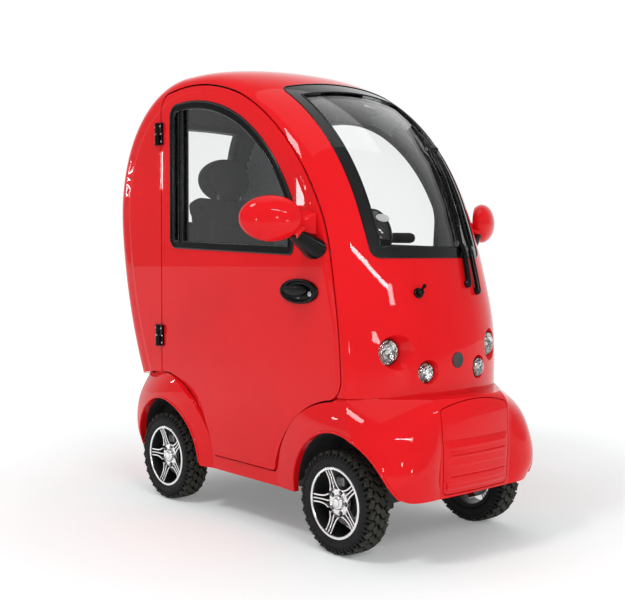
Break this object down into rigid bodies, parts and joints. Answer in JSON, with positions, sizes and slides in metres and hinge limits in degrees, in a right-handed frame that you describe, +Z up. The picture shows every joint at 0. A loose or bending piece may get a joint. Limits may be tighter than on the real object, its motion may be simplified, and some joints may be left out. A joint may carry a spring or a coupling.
{
  "type": "enclosed mobility scooter",
  "caption": "Small one-seat enclosed mobility scooter with a rounded hollow red cab, hinged side doors, mirrors, tiller steering and road wheels.",
  "frame": {"origin": "on the ground under the middle of the bounding box", "axes": "+X forwards along the vehicle, +Y to its left, +Z up"},
  "size_m": [1.6418, 1.1764, 1.6063],
  "materials": {
    "red_panel": "glossy",
    "black_trim": "satin",
    "clear_glass": "clear",
    "lamp": "glossy",
    "dark_plastic": "matte",
    "black_steel": "satin",
    "black_fittings": "satin",
    "upholstery": "matte",
    "bright_steel": "polished",
    "grip": "matte",
    "tyre": "matte",
    "silver_alloy": "satin"
  },
  "bodies": {
    "body": {"cab_shell": "red_panel", "windscreen_frame": "black_trim", "windscreen": "clear_glass", "rear_window_frame": "black_trim", "rear_window": "clear_glass", "head_lamps": "lamp", "front_wings": "red_panel", "front_panel": "red_panel", "sills": "red_panel", "rear_wings": "red_panel", "floor_pan": "dark_plastic", "chassis_frame": "black_steel", "front_axle": "black_steel", "rear_axle": "black_steel", "hinge_leaves": "black_fittings", "tiller_socket": "black_steel", "seat_base": "dark_plastic", "battery_pack": "black_steel", "seat_cushion": "upholstery", "seat_back": "upholstery", "headrest": "upholstery", "headrest_posts": "bright_steel", "wiper": "black_fittings", "sun_visor": "dark_plastic"},
    "door_left": {"door_left": "red_panel", "door_left_frame": "black_trim", "door_left_glass": "clear_glass", "door_left_fittings": "black_fittings", "mirror_left": "red_panel", "mirror_stalk_left": "black_fittings"},
    "door_right": {"door_right": "red_panel", "door_right_frame": "black_trim", "door_right_glass": "clear_glass", "door_right_fittings": "black_fittings", "mirror_right": "red_panel", "mirror_stalk_right": "black_fittings"},
    "tiller": {"tiller_column": "black_steel", "tiller_console": "dark_plastic", "handlebar": "grip"},
    "knuckle_left": {"knuckle_left": "black_steel"},
    "knuckle_right": {"knuckle_right": "black_steel"},
    "wheel_front_left": {"tyre_front_left": "tyre", "rim_front_left": "silver_alloy"},
    "wheel_front_right": {"tyre_front_right": "tyre", "rim_front_right": "silver_alloy"},
    "wheel_rear_left": {"tyre_rear_left": "tyre", "rim_rear_left": "silver_alloy"},
    "wheel_rear_right": {"tyre_rear_right": "tyre", "rim_rear_right": "silver_alloy"}
  },
  "joints": [
    {"name": "door_left_hinge", "type": "hinge", "parent": "body", "child": "door_left", "pos_m": [-0.455, 0.368, 1], "axis": [0, 0, 1], "range_deg": [0, 75]},
    {"name": "door_right_hinge", "type": "hinge", "parent": "body", "child": "door_right", "pos_m": [-0.455, -0.368, 1], "axis": [0, 0, -1], "range_deg": [0, 75]},
    {"name": "tiller_turn", "type": "hinge", "parent": "body", "child": "tiller", "pos_m": [0.614, 0, 0.224], "axis": [-0.3458, 0, 0.9383], "range_deg": [-40, 40]},
    {"name": "knuckle_left_turn", "type": "hinge", "parent": "body", "child": "knuckle_left", "pos_m": [0.5335, 0.247, 0.165], "axis": [0, 0, 1], "range_deg": [-28, 28]},
    {"name": "knuckle_right_turn", "type": "hinge", "parent": "body", "child": "knuckle_right", "pos_m": [0.5335, -0.247, 0.165], "axis": [0, 0, 1], "range_deg": [-28, 28]},
    {"name": "wheel_front_left_spin", "type": "hinge", "parent": "knuckle_left", "child": "wheel_front_left", "pos_m": [0.5335, 0.3135, 0.165], "axis": [0, 1, 0], "continuous": true},
    {"name": "wheel_front_right_spin", "type": "hinge", "parent": "knuckle_right", "child": "wheel_front_right", "pos_m": [0.5335, -0.3135, 0.165], "axis": [0, 1, 0], "continuous": true},
    {"name": "wheel_rear_left_spin", "type": "hinge", "parent": "body", "child": "wheel_rear_left", "pos_m": [-0.4235, 0.3135, 0.165], "axis": [0, 1, 0], "continuous": true},
    {"name": "wheel_rear_right_spin", "type": "hinge", "parent": "body", "child": "wheel_rear_right", "pos_m": [-0.4235, -0.3135, 0.165], "axis": [0, 1, 0], "continuous": true}
  ],
  "couplings": [
    {"joint": "knuckle_left_turn", "follows": "tiller_turn", "ratio": 0.7},
    {"joint": "knuckle_right_turn", "follows": "tiller_turn", "ratio": 0.7}
  ]
}
